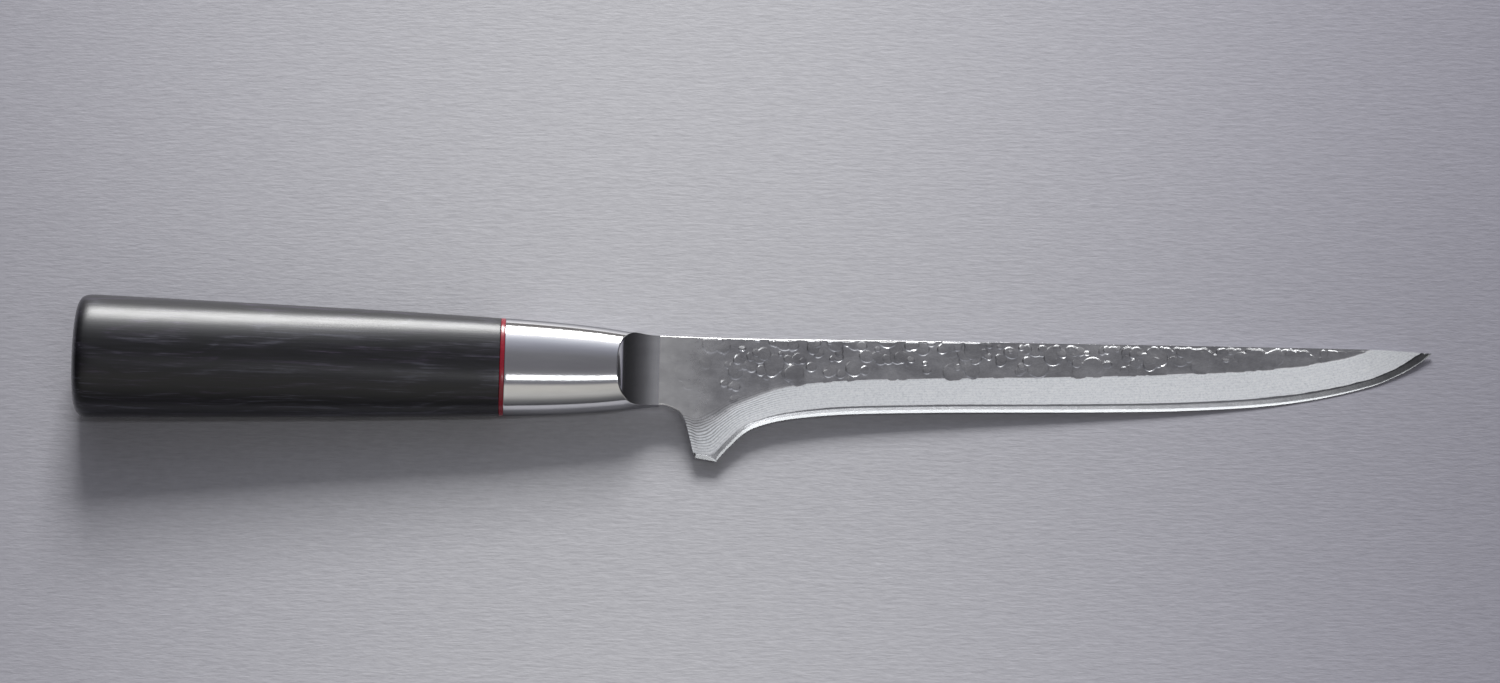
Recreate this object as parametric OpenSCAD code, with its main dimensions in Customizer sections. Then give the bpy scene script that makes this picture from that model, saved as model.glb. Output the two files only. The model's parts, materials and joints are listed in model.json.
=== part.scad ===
// Boning knife with a clad blade, a ground steel bolster and a laminated wood handle.
// The knife lies on its left side. +X runs from the butt to the point, +Y from
// the cutting edge to the spine, and +Z out of the blade's right face.
// The origin is under the middle of the knife, at the height of its lowest point.

/* [Handle] */
// Length of the wood handle
handle_len = 95.3; // [85:0.1:105]
// Height of the handle at the butt, from edge side to spine side
butt_h = 28; // [26:0.5:30]
// Thickness of the handle at the butt
butt_t = 20; // [18:0.5:22]
// Roundness of the handle's section, 2 is an ellipse and more is squarer
section_n = 2; // [2:0.1:3]

/* [Spacer ring] */
// Thickness of the red spacer ring
ring_t = 1; // [0.8:0.1:2]

/* [Bolster] */
// Length of the bolster, up to where its hollow grind starts
bolster_len = 25; // [22:0.5:30]
// Thickness of the bolster at its back
bolster_t = 13.7; // [12.5:0.1:15]
// Radius of the hollow grind that runs out onto the blade
grind_r = 11.8; // [10:0.1:13]

/* [Blade] */
// Length of the cutting edge's side, heel to point
blade_len = 165; // [150:1:180]
// Thickness of the blade's flats
blade_t = 2.2; // [1.8:0.1:2.6]
// Thickness of the hard core layer
core_t = 0.6; // [0.4:0.1:0.8]
// Thickness left at the cutting edge
edge_t = 0.24; // [0.16:0.02:0.3]

/* [Tang] */
// Height of the stub tang inside the bolster
tang_h = 10; // [8:0.5:12]
// How far the tang bar reaches into the handle
tang_reach = 50; // [30:1:60]
// Gap that the potting fills around the tang bar
pot_gap = 1.1; // [0.8:0.1:1.5]

/* [Hidden] */

ht = blade_t / 2;
hc = core_t / 2;
he = edge_t / 2;
xb = handle_len + ring_t;         // back of the bolster
xn = xb + bolster_len;            // start of the hollow grind, the blade's own zero
stretch = blade_len / 165;
grind_end = 9.7;                  // where the grind runs out, past xn
cheek_end = 8.6;                  // where the bolster's cheeks stop, past xn
neck_start = 2;                   // where the blade takes the bolster's full height
tt = blade_t - 0.2;               // the tang and neck inside the bolster are ground a little thinner
seg = 24;                         // points around a section

// Half height of the handle and bolster against distance from the butt
top_line = [[0, 14.1], [28, 13.35], [50, 12.75], [73, 12.05], [96.3, 11.07], [108, 10.42],
            [116, 9.75], [121.3, 9.12], [124.3, 8.65], [126.3, 8.3], [128.8, 8.05], [132, 7.97]];
// Half thickness, the same way
side_line = [[0, 10.1], [40, 8.7], [73, 7.55], [96.3, 6.85], [121.3, 6.05], [132, 5.75]];
// Crown of the butt: share of the full section against distance in from the end
crown = [[0.02, 0.1], [0.25, 0.14], [0.46, 0.26], [0.68, 0.5], [0.8, 0.78], [0.88, 1.15], [0.94, 1.7], [0.98, 2.5], [1, 3.8]];

// Spine from the neck to the point
spine = [[2, 8.8], [3, 8.65], [5, 8.3], [7.5, 8.05], [14, 7.95], [27, 7.87], [36, 7.98], [63, 8.37],
         [99, 8.76], [135, 9.15], [165, 9.38], [176, 9.33], [183, 9.03]];
// Cutting edge from the point back to the heel
edge = [[183, 9.03], [179.1, 6.0], [174.5, 3.4], [168.8, 0.95], [157.7, -2.05], [144.2, -4.3], [126.3, -5.8],
        [108.3, -6.6], [90.4, -7.15], [72.5, -7.7], [54.6, -8.5], [45.7, -9.25], [37.7, -10.4],
        [32.3, -11.9], [28.8, -13.7], [25.3, -17.2], [22.6, -20.4]];
// Heel and choil, from the heel's front corner back to the neck
heel = [[22.6, -20.4], [17.9, -19.6], [17.4, -18.4], [17, -16.6], [16.5, -14.8], [16, -13], [15.4, -11.15],
        [14.3, -9.4], [12.6, -8.5], [10.8, -7.95], [8, -8.0], [5, -8.3], [3, -8.65], [2, -8.8]];
// Grind line on the flats, and the edge point that each of its points is ground down to
grind_top = [[8, -10.5], [15.3, -10.9], [17.7, -11.6], [19.9, -10.8], [22.2, -9.5], [25, -7.7], [28.5, -6.0],
             [36.3, -3.1], [45, -1.7], [54.6, -0.8], [72.5, 0.1], [90.4, 0.8], [108.3, 1.55], [126.3, 2.75],
             [140, 3.75], [151.3, 5.1], [162.8, 7.5], [170, 10.2], [176, 13.5], [182, 17.5]];
grind_low = [[10, -21], [17.5, -20.3], [20, -20.6], [22.6, -20.4], [25.3, -17.2], [28.8, -13.7], [32.3, -11.9],
             [37.7, -10.4], [45.7, -9.25], [54.6, -8.5], [72.5, -7.7], [90.4, -7.15], [108.3, -6.6], [126.3, -5.8],
             [144.2, -4.3], [157.7, -2.05], [168.8, 0.95], [174.5, 3.4], [179.1, 6.0], [185, 10.5]];

// A smooth curve through every point of a list, with n steps between points
function cr(a, b, c, d, t) = 0.5 * (2 * b + (c - a) * t + (2 * a - 5 * b + 4 * c - d) * t * t
                                    + (3 * b - a - 3 * c + d) * t * t * t);
function at(p, i) = p[min(max(i, 0), len(p) - 1)];
function smooth(p, n) = [for (i = [0 : len(p) - 2], j = [0 : n - 1])
                            cr(at(p, i - 1), p[i], p[i + 1], at(p, i + 2), j / n), p[len(p) - 1]];
// A measured table, stretched along the handle, ring, bolster and neck
function place_x(x) = x < 95.3 ? x * handle_len / 95.3
                    : x < 121.3 ? xb + (x - 96.3) * bolster_len / 25
                    : xn + (x - 121.3);
function table(p, k) = [for (q = smooth([for (q = p) [q[0], q[1]]], 6)) [place_x(q[0]), q[1] * k]];
tops = table(top_line, butt_h / 28);
necks = table(top_line, 1);
sides = table(side_line, 1);
// The butt's own height fades to the neck's fixed height along the bolster
function fade(x) = x < xb ? 0 : x > xn ? 1 : (x - xb) / (xn - xb);
function half_h(x) = min(butt_h / 2, lookup(x, tops) * (1 - fade(x)) + lookup(x, necks) * fade(x));
function half_t(x) = min(butt_t / 2, lookup(x, sides) * (x < xb ? (butt_t / 20) * (1 - x / xb) + (bolster_t / 13.7) * x / xb
                                                                : bolster_t / 13.7));
function pw(v, e) = (v < 0 ? -1 : 1) * pow(abs(v), e);
function ring_at(x, s = 1) = [for (i = [0 : seg - 1]) let (a = 360 * i / seg)
    [x, s * half_h(x) * pw(cos(a), 2 / section_n), s * half_t(x) * pw(sin(a), 2 / section_n)]];

// A solid through a list of rings, each with the same number of points.
// Its ends are one flat face each, or a fan of triangles where the ring isn't quite flat
module loft(rings, fan = false) {
    n = len(rings[0]);
    m = len(rings);
    e = (m - 1) * n;
    polyhedron(points = [for (r = rings) each r],
        faces = concat(
            fan ? [for (i = [1 : n - 2]) [0, i, i + 1]] : [[for (i = [0 : n - 1]) i]],
            [for (k = [0 : m - 2], i = [0 : n - 1]) let (j = (i + 1) % n)
                each [[k * n + i, (k + 1) * n + i, (k + 1) * n + j], [k * n + i, (k + 1) * n + j, k * n + j]]],
            fan ? [for (i = [1 : n - 2]) [e, e + i + 1, e + i]] : [[for (i = [n - 1 : -1 : 0]) e + i]]));
}

// Moves the knife to its own zero: middle of its length and height, and its lowest point
module set_down() {
    translate([-(xn + 183 * stretch + 0.1) / 2, (20.4 - butt_h / 2) / 2, butt_t / 2]) children();
}
// Blade points are counted from the neck, and stretch past the choil only
function blade_x(u) = xn + (u < 18 ? u : 18 + (u - 18) * (183 * stretch - 18) / 165);
function bl(p) = [for (q = p) [blade_x(q[0]), q[1]]];

module blade_outline() {
    back = bl(smooth(spine, 5));
    front = bl(smooth(edge, 5));
    choil = bl(concat([heel[0]], smooth([for (i = [1 : len(heel) - 1]) heel[i]], 4)));
    polygon(concat(back, [for (i = [1 : len(front) - 1]) front[i]], [for (i = [1 : len(choil) - 1]) choil[i]],
        [[xn + neck_start, -tang_h / 2], [xb + 1, -tang_h / 2], [xb + 1, tang_h / 2], [xn + neck_start, tang_h / 2]]));
}

// The wedge of steel that grinding takes off the right face
module ground_off() {
    top = bl(smooth(grind_top, 3));
    low = bl(smooth(grind_low, 3));
    rings = [for (i = [0 : len(top) - 1])
        let (d = low[i] - top[i], l = norm(d), u = d / l, k = (ht - he) / l, a = top[i] - 1.5 * u, b = low[i] + 3 * u)
        [[a[0], a[1], 6], [b[0], b[1], 6], [b[0], b[1], he - 3 * k], [a[0], a[1], ht + 1.5 * k]]];
    loft(rings, true);
}

// What is ground off the tang and neck, up to the cheeks' ends, to let them into the bolster
module thin_neck() {
    translate([xb - 5, -15, tt / 2]) cube([bolster_len + 5 + cheek_end, 30, 5]);
}

module layer(z0, z1) {
    translate([0, 0, z0]) linear_extrude(z1 - z0) blade_outline();
}

module handle_block() {
    color([0.10, 0.09, 0.11]) set_down() difference() {
        loft(concat([for (c = crown) ring_at(c[1], c[0])],
            [for (i = [1 : 18]) ring_at(3.8 + (handle_len - 3.8) * i / 18)]));
        translate([handle_len - tang_reach, -tang_h / 2 - pot_gap, -tt / 2 - pot_gap])
            cube([tang_reach + 1, tang_h + 2 * pot_gap, tt + 2 * pot_gap]);
    }
}

module spacer_ring() {
    color([0.62, 0.10, 0.13]) set_down() difference() {
        loft([ring_at(handle_len), ring_at(xb)]);
        translate([handle_len - 1, -tang_h / 2 - pot_gap, -tt / 2 - pot_gap])
            cube([ring_t + 2, tang_h + 2 * pot_gap, tt + 2 * pot_gap]);
    }
}

module bolster() {
    color([0.78, 0.78, 0.80]) set_down() difference() {
        loft([for (i = [0 : 12]) ring_at(xb + (bolster_len + cheek_end) * i / 12)]);
        for (s = [-1, 1])
            translate([xn + grind_end, 30, s * (ht + grind_r)]) rotate([90, 0, 0]) cylinder(r = grind_r, h = 60, $fn = 96);
        translate([xb - 1, -tang_h / 2, -tt / 2]) cube([bolster_len + 20, tang_h, tt]);
        translate([xn + neck_start, -12, -tt / 2]) cube([20, 24, tt]);
    }
}

module blade_core() {
    color([0.62, 0.64, 0.67]) set_down() difference() {
        layer(-hc, hc);
        ground_off();
        mirror([0, 0, 1]) ground_off();
    }
}

module cladding_right() {
    color([0.72, 0.73, 0.75]) set_down() difference() {
        layer(hc, ht);
        ground_off();
        thin_neck();
    }
}

module cladding_left() {
    color([0.72, 0.73, 0.75]) set_down() difference() {
        layer(-ht, -hc);
        mirror([0, 0, 1]) ground_off();
        mirror([0, 0, 1]) thin_neck();
    }
}

module tang_bar() {
    color([0.55, 0.56, 0.58]) set_down()
        translate([handle_len - tang_reach + pot_gap, -tang_h / 2, -tt / 2])
            cube([xb + 1 - handle_len + tang_reach - pot_gap, tang_h, tt]);
}

module tang_epoxy() {
    color([0.70, 0.62, 0.40]) set_down() difference() {
        translate([handle_len - tang_reach, -tang_h / 2 - pot_gap, -tt / 2 - pot_gap])
            cube([tang_reach + ring_t, tang_h + 2 * pot_gap, tt + 2 * pot_gap]);
        translate([handle_len - tang_reach + pot_gap, -tang_h / 2, -tt / 2])
            cube([tang_reach + ring_t, tang_h, tt]);
    }
}

handle_block();
spacer_ring();
bolster();
blade_core();
cladding_right();
cladding_left();
tang_bar();
tang_epoxy();
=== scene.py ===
import json
import math

import bpy
import numpy as np
from mathutils import Matrix, Vector
from mathutils.bvhtree import BVHTree

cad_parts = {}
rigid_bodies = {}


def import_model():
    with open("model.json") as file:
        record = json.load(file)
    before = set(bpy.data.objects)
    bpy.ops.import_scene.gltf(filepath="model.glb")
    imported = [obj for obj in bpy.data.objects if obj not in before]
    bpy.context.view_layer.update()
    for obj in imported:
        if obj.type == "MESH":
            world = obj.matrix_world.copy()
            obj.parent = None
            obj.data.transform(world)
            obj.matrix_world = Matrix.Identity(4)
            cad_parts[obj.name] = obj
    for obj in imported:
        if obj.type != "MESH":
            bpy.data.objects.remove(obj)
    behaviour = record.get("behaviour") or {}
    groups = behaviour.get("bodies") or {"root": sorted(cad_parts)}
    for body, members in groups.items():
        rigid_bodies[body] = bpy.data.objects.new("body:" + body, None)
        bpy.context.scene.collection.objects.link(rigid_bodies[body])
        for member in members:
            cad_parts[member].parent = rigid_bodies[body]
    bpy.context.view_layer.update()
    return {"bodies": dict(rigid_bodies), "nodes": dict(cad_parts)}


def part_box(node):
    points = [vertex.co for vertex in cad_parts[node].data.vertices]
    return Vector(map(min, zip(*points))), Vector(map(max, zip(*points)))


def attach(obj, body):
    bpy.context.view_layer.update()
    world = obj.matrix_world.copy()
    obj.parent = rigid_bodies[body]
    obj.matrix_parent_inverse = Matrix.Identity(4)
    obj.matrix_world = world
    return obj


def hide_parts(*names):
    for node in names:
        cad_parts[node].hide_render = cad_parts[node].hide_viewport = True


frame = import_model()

scene = bpy.context.scene
BODY = "root" if "root" in frame["bodies"] else sorted(frame["bodies"])[0]

# ------------------------------------------------------------------ frame
# The shapes below are written in millimetres from the middle of the butt, along
# the knife. The spacer ring's box says where that point lies in the row frame.
MM = 0.001
ring_lo, ring_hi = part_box("spacer_ring")
ZERO = np.array([ring_lo.x / MM - 95.3, (ring_lo.y + ring_hi.y) / 2 / MM, (ring_lo.z + ring_hi.z) / 2 / MM])


def row(p):
    return (np.asarray(p, float) + ZERO) * MM


# ------------------------------------------------------------------ curves
def smooth(p, n):
    p = np.asarray(p, float)
    out = []
    for i in range(len(p) - 1):
        a, b, c, d = p[max(i - 1, 0)], p[i], p[i + 1], p[min(i + 2, len(p) - 1)]
        for j in range(n):
            t = j / n
            out.append(0.5 * (2 * b + (c - a) * t + (2 * a - 5 * b + 4 * c - d) * t * t
                              + (3 * b - a - 3 * c + d) * t ** 3))
    out.append(p[-1])
    return np.array(out)


XB, XN = 96.3, 121.3          # back of the bolster, start of its hollow grind
HT, HC, TT = 1.1, 0.3, 1.0    # half thickness of the flats, the core and the tang
GRIND_R, GRIND_X = 11.8, 131.0
SEAM = 130.9                  # where the bolster's skin gives way to the blade's

TOP = smooth([[0, 14.1], [28, 13.35], [50, 12.75], [73, 12.05], [96.3, 11.07], [108, 10.42],
              [116, 9.75], [121.3, 9.12], [124.3, 8.65], [126.3, 8.3], [128.8, 8.05], [132, 7.97]], 8)
SIDE = smooth([[0, 10.1], [40, 8.7], [73, 7.55], [96.3, 6.85], [121.3, 6.05], [132, 5.75]], 8)
CROWN = smooth([[0.02, 0.1], [0.25, 0.14], [0.46, 0.26], [0.68, 0.5], [0.8, 0.78], [0.88, 1.15],
                [0.94, 1.7], [0.974, 2.4], [0.990, 3.2], [0.9975, 4.3], [1, 5.8]], 4)
SPINE = smooth([[2, 8.8], [3, 8.65], [5, 8.3], [7.5, 8.05], [14, 7.95], [27, 7.87], [36, 7.98], [63, 8.37],
                [99, 8.76], [135, 9.15], [165, 9.38], [176, 9.33], [183, 9.03]], 8)
EDGE = smooth([[183, 9.03], [179.1, 6.0], [174.5, 3.4], [168.8, 0.95], [157.7, -2.05], [144.2, -4.3],
               [126.3, -5.8], [108.3, -6.6], [90.4, -7.15], [72.5, -7.7], [54.6, -8.5], [45.7, -9.25],
               [37.7, -10.4], [32.3, -11.9], [28.8, -13.7], [25.3, -17.2], [22.6, -20.4]], 8)
CHOIL = smooth([[17.9, -19.6], [17.4, -18.4], [17, -16.6], [16.5, -14.8], [16, -13], [15.4, -11.15],
                [14.3, -9.4], [12.6, -8.5], [10.8, -7.95], [8, -8.0], [5, -8.3], [3, -8.65], [2, -8.8]], 6)
GRIND_TOP = smooth([[8, -10.5], [15.3, -10.9], [17.7, -11.6], [19.9, -10.8], [22.2, -9.5], [25, -7.7],
                    [28.5, -6.0], [36.3, -3.1], [45, -1.7], [54.6, -0.8], [72.5, 0.1], [90.4, 0.8],
                    [108.3, 1.55], [126.3, 2.75], [140, 3.75], [151.3, 5.1], [162.8, 7.5], [170, 10.2],
                    [176, 13.5], [182, 17.5]], 8)
GRIND_LOW = smooth([[10, -21], [17.5, -20.3], [20, -20.6], [22.6, -20.4], [25.3, -17.2], [28.8, -13.7],
                    [32.3, -11.9], [37.7, -10.4], [45.7, -9.25], [54.6, -8.5], [72.5, -7.7], [90.4, -7.15],
                    [108.3, -6.6], [126.3, -5.8], [144.2, -4.3], [157.7, -2.05], [168.8, 0.95],
                    [174.5, 3.4], [179.1, 6.0], [185, 10.5]], 8)
_low = np.vstack([CHOIL[::-1], EDGE[::-1]])


def half_h(x):
    return np.minimum(14.0, np.interp(x, TOP[:, 0], TOP[:, 1]))


def half_t(x):
    return np.minimum(10.0, np.interp(x, SIDE[:, 0], SIDE[:, 1]))


def spine_y(u):
    return np.interp(u, SPINE[:, 0], SPINE[:, 1])


def low_y(u):
    return np.interp(u, _low[:, 0], _low[:, 1])


# ------------------------------------------------------------------ meshes
def mesh_object(name, verts, faces, sharp=35, attrs=None):
    """One closed mesh from points in millimetres and a list of face arrays."""
    me = bpy.data.meshes.new(name)
    loops = np.concatenate([f.reshape(-1) for f in faces]).astype(np.int32)
    sizes = np.concatenate([np.full(len(f), f.shape[1]) for f in faces]).astype(np.int32)
    starts = np.concatenate([[0], np.cumsum(sizes)[:-1]]).astype(np.int32)
    me.vertices.add(len(verts))
    me.vertices.foreach_set("co", row(verts).astype(np.float32).reshape(-1))
    me.loops.add(len(loops))
    me.loops.foreach_set("vertex_index", loops)
    me.polygons.add(len(sizes))
    me.polygons.foreach_set("loop_start", starts)
    me.update(calc_edges=True)
    me.validate()
    for key, val in (attrs or {}).items():
        a = me.attributes.new(key, "FLOAT", "POINT")
        a.data.foreach_set("value", np.asarray(val, np.float32))
    me.polygons.foreach_set("use_smooth", np.ones(len(me.polygons), bool))
    if sharp:
        me.set_sharp_from_angle(angle=math.radians(sharp))
    ob = bpy.data.objects.new(name, me)
    scene.collection.objects.link(ob)
    return ob


def loft(name, rings, cyclic=False, sharp=35, attrs=None):
    """A solid through closed rings of equal count; its ends are capped unless it closes on itself."""
    P = np.asarray(rings, float)
    m, n, _ = P.shape
    k = np.arange(m if cyclic else m - 1)[:, None]
    i = np.arange(n)[None, :]
    j = (i + 1) % n
    k2 = (k + 1) % m
    quads = np.stack([k * n + i, k2 * n + i, k2 * n + j, k * n + j], -1).reshape(-1, 4)
    faces = [quads]
    if not cyclic:
        faces.append(np.arange(n)[None, :])
        faces.append((m - 1) * n + np.arange(n)[None, ::-1])
    V = P.reshape(-1, 3)
    a, b, c, d = (V[quads[:, q]] for q in range(4))
    vol = np.einsum("ij,ij->i", a, np.cross(b, c)).sum() + np.einsum("ij,ij->i", a, np.cross(c, d)).sum()
    for f in faces[1:]:
        g = f[0]
        o = V[g[0]]
        for q in range(1, len(g) - 1):
            vol += np.dot(o, np.cross(V[g[q]], V[g[q + 1]]))
    if vol < 0:
        faces = [f[:, ::-1] for f in faces]
    return mesh_object(name, V, faces, sharp, attrs)


def rect_ring(x, ry, rz, angles):
    """A rectangle's points on the same spokes as a section's, with its corners kept."""
    c, s = np.cos(angles), np.sin(angles)
    k = np.minimum(ry / np.maximum(np.abs(c), 1e-9), rz / np.maximum(np.abs(s), 1e-9))
    y, z = c * k, s * k
    for sy in (-1, 1):
        for sz in (-1, 1):
            t = math.atan2(sz * rz, sy * ry) % (2 * math.pi)
            i = int(np.argmin(np.abs((angles - t + math.pi) % (2 * math.pi) - math.pi)))
            y[i], z[i] = sy * ry, sz * rz
    return np.stack([np.full(len(angles), float(x)), y, z], -1)


def section(x, n, angles, s=1.0, inset=0.0, a=None, b=None):
    a = (half_h(x) if a is None else a) * s - inset
    b = (half_t(x) if b is None else b) * s - inset
    c, q = np.cos(angles), np.sin(angles)
    return np.stack([np.full(len(angles), float(x)), a * np.sign(c) * np.abs(c) ** (2 / n),
                     b * np.sign(q) * np.abs(q) ** (2 / n)], -1)


SEC = 2.25
ANG = np.arange(144) * 2 * math.pi / 144
ANG_H = (np.arange(192) + 0.0) * 2 * math.pi / 192


def oval(x):
    return float(np.interp(x, [0, 50, 94], [1.98, 2.0, SEC]))


def build_handle():
    rings = [section(c[1], oval(c[1]), ANG, c[0]) for c in CROWN]
    for x in np.linspace(5.8, 95.1, 90)[1:]:
        rings.append(section(x, oval(x), ANG))
    # a fine eased edge where the wood meets the ring
    for x, i in ((95.18, 0.008), (95.25, 0.03), (95.29, 0.07), (95.3, 0.12)):
        rings.append(section(x, SEC, ANG, inset=i))
    rings.append(rect_ring(95.3, 6.1, 2.1, ANG))
    rings.append(rect_ring(45.3, 6.1, 2.1, ANG))
    return loft("wood_handle", rings, sharp=40)


def build_ring():
    rings = []
    for x, i in ((95.3, 0.1), (95.33, 0.045), (95.39, 0.01), (95.46, 0.0), (95.8, -0.012), (96.14, 0.0),
                 (96.21, 0.01), (96.27, 0.045), (96.3, 0.1)):
        rings.append(section(x, SEC, ANG, inset=i))
    rings.append(rect_ring(96.3, 6.1, 2.1, ANG))
    rings.append(rect_ring(95.3, 6.1, 2.1, ANG))
    return loft("red_ring", rings, cyclic=True, sharp=50)


def smin(a, b, k):
    h = np.clip(0.5 + 0.5 * (b - a) / k, 0, 1)
    return b * (1 - h) + a * h - k * h * (1 - h)


def bolster_section(x, inset=0.0):
    """The oval body, cut by the hollow grind that leaves the thin neck."""
    a = float(half_h(x)) - inset
    w = np.clip((x - XN - 1.5) / 7.5, 0, 1)
    w = w * w * (3 - 2 * w)
    n = SEC + 3.4 * w
    P = section(x, n, ANG_H, a=a, b=float(half_t(x)) - inset)
    dx = GRIND_X - x
    if dx < GRIND_R:
        zf = HT + GRIND_R - math.sqrt(GRIND_R ** 2 - dx * dx)
        z = np.abs(P[:, 2])
        # the neck's corners are eased by about 0.3 mm where it turns thin
        k = 0.10 + 0.35 * w
        z = np.maximum(smin(z, np.full_like(z, zf), k), 0)
        P[:, 2] = np.sign(P[:, 2]) * z
    return P


def build_bolster():
    xs = [(96.3, 0.1), (96.33, 0.045), (96.39, 0.01)]
    xs += [(x, 0.0) for x in np.arange(96.5, 120.6, 0.6)]
    xs += [(x, 0.0) for x in np.arange(120.7, SEAM, 0.085)] + [(SEAM, 0.0)]
    rings = [bolster_section(x, i) for x, i in xs]
    rings.append(rect_ring(SEAM, 5.0, TT, ANG_H))
    rings.append(rect_ring(96.3, 5.0, TT, ANG_H))
    return loft("steel_bolster", rings, cyclic=True, sharp=32)


# ------------------------------------------------------------------ blade
def bevel_tree():
    """The flat of the main bevel as a ruled sheet, carried on past both its lines."""
    f = np.array([-0.6, 0.0, 0.5, 1.0, 1.25])
    t, l = GRIND_TOP, GRIND_LOW
    verts, polys = [], []
    for i in range(len(t)):
        for k in f:
            p = t[i] + (l[i] - t[i]) * k
            verts.append((p[0], p[1], HT - (HT - 0.12) * k))
    for i in range(len(t) - 1):
        for k in range(len(f) - 1):
            a = i * len(f) + k
            polys.append((a, a + 1, a + len(f) + 1))
            polys.append((a, a + len(f) + 1, a + len(f)))
    return BVHTree.FromPolygons(verts, polys)


TREE = bevel_tree()


def bevel_z(u, y):
    """Height of the bevel's plane over each point; high where there is no bevel."""
    out = np.full(u.shape, 3.0)
    uf, yf, of = u.reshape(-1), y.reshape(-1), out.reshape(-1)
    down = Vector((0, 0, -1))
    for i in range(len(uf)):
        # only near and below the grind line is there anything to hit
        hit = TREE.ray_cast(Vector((uf[i], yf[i], 9.0)), down)
        if hit[0] is not None:
            of[i] = hit[0].z
    return out


def wobble(x, seed, scale, octaves=3):
    """Smooth seeded noise along one line, about -1 to 1."""
    rng = np.random.default_rng(seed)
    out = np.zeros_like(x)
    amp, tot = 1.0, 0.0
    for o in range(octaves):
        n = int((x.max() - x.min()) / scale) + 6
        g = rng.uniform(-1, 1, n)
        q = (x - x.min()) / scale + 1
        i = np.clip(q.astype(int), 0, n - 2)
        t = q - i
        t = t * t * (3 - 2 * t)
        out += amp * (g[i] * (1 - t) + g[i + 1] * t)
        tot += amp
        amp *= 0.55
        scale *= 0.43
    return out / tot


def columns():
    parts = [np.arange(9.6, 12.6, 0.22), np.arange(12.6, 17.9, 0.075), np.arange(17.9, 22.6, 0.13),
             np.arange(22.6, 150, 0.125), np.arange(150, 182.9, 0.13), [182.93]]
    return np.concatenate(parts)


U = columns()
YS = spine_y(U)
YL = low_y(U)


def core_line():
    """Where the bevel comes down to the core, in each column."""
    out = np.zeros(len(U))
    for i, u in enumerate(U):
        ys = np.linspace(YS[i], YL[i], 240)
        z = bevel_z(np.full(240, u), ys)
        below = np.nonzero(z < HC)[0]
        if len(below) == 0:
            out[i] = YL[i] - 5
        else:
            k = below[0]
            if k == 0:
                out[i] = ys[0]
            else:
                t = (z[k - 1] - HC) / max(z[k - 1] - z[k], 1e-6)
                out[i] = ys[k - 1] + (ys[k] - ys[k - 1]) * t
    return out


YK = core_line()
# the lamination's edge wanders a little, most of all towards the point
_tip = np.clip((U - 128) / 45, 0, 1)
WANDER = wobble(U, 11, 9.0, 4) * (0.05 + 0.22 * _tip) + np.maximum(0, wobble(U, 12, 3.2, 3)) * 0.3 * _tip
DROP = (U > 17.3)
YC = np.where(DROP, np.maximum(YK + WANDER + np.interp(U, [30, 48, 150, 172], [0.0, 0.32, 0.35, 0.1]), YL + 0.35), YL)
YC = np.minimum(YC, YS - 0.05 * np.clip((183 - U) / 10, 0.05, 1))


def craters(seed):
    """Hammer marks: shallow pits, each sunk deeper on one side, crowded towards the spine."""
    rng = np.random.default_rng(seed)
    out = []
    u = 13.5
    while u < 168:
        u += rng.exponential(0.52 if u > 24 else 1.3)
        v = rng.beta(0.95, 1.15)
        top = np.interp(u, SPINE[:, 0], SPINE[:, 1]) + 0.6
        line = np.interp(u, GRIND_TOP[:, 0], GRIND_TOP[:, 1])
        low = max(line - 0.4, -6.5) if u < 30 else line - 0.4
        y = top + (low - top) * v
        r = float(rng.choice([rng.uniform(0.6, 1.0), rng.uniform(1.0, 1.7), rng.uniform(1.7, 2.5)],
                             p=[0.30, 0.48, 0.22]))
        if u > 84:
            y = min(y, np.interp(u, SPINE[:, 0], SPINE[:, 1]) - 1.16 * r - 0.12)
        d = rng.uniform(0.07, 0.135)
        w = rng.uniform(0.22, 0.32)
        if u < 26:
            d *= max(0.3, (u - 12) / 15)
        d *= min(1.0, 0.25 + 0.30 * max(y - line, 0))
        # the deep side faces down the blade near the heel, and up it near the point
        flip = 1 / (1 + math.exp(-(u - 112) / 12))
        up = rng.uniform() < flip
        side = math.radians(84 if up else -112) + rng.normal(0, 0.5)
        d *= 0.95 if up else 1.15
        lean = rng.uniform(0.7, 1.0)
        out.append((u, y, r, d, w, rng.uniform(0.84, 1.18), rng.uniform(0, math.pi), side, lean))
    return out


def crater_depth(u, y, marks):
    D = np.zeros_like(u)
    for cu, cy, r, d, w, e, t, side, lean in marks:
        near = (np.abs(u - cu) < r * 1.3) & (np.abs(y - cy) < r * 1.3)
        if not near.any():
            continue
        du, dy = u[near] - cu, y[near] - cy
        c, s = math.cos(t), math.sin(t)
        rr = np.sqrt(((du * c + dy * s) / e) ** 2 + ((-du * s + dy * c) * e) ** 2)
        k = np.clip((r - rr) / w, 0, 1)
        wall = k * k * (3 - 2 * k)
        bowl = 0.80 + 0.20 * np.clip(1 - (rr / r) ** 2, 0, 1)
        along = (du * math.cos(side) + dy * math.sin(side)) / r
        deep = np.clip(0.5 + 0.62 * along, 0, 1.1)
        D[near] = np.maximum(D[near], d * wall * bowl * (1 - lean + lean * deep))
    return D


NA = 106      # rows across the face
NR = 6        # rows round the spine's corner


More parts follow.
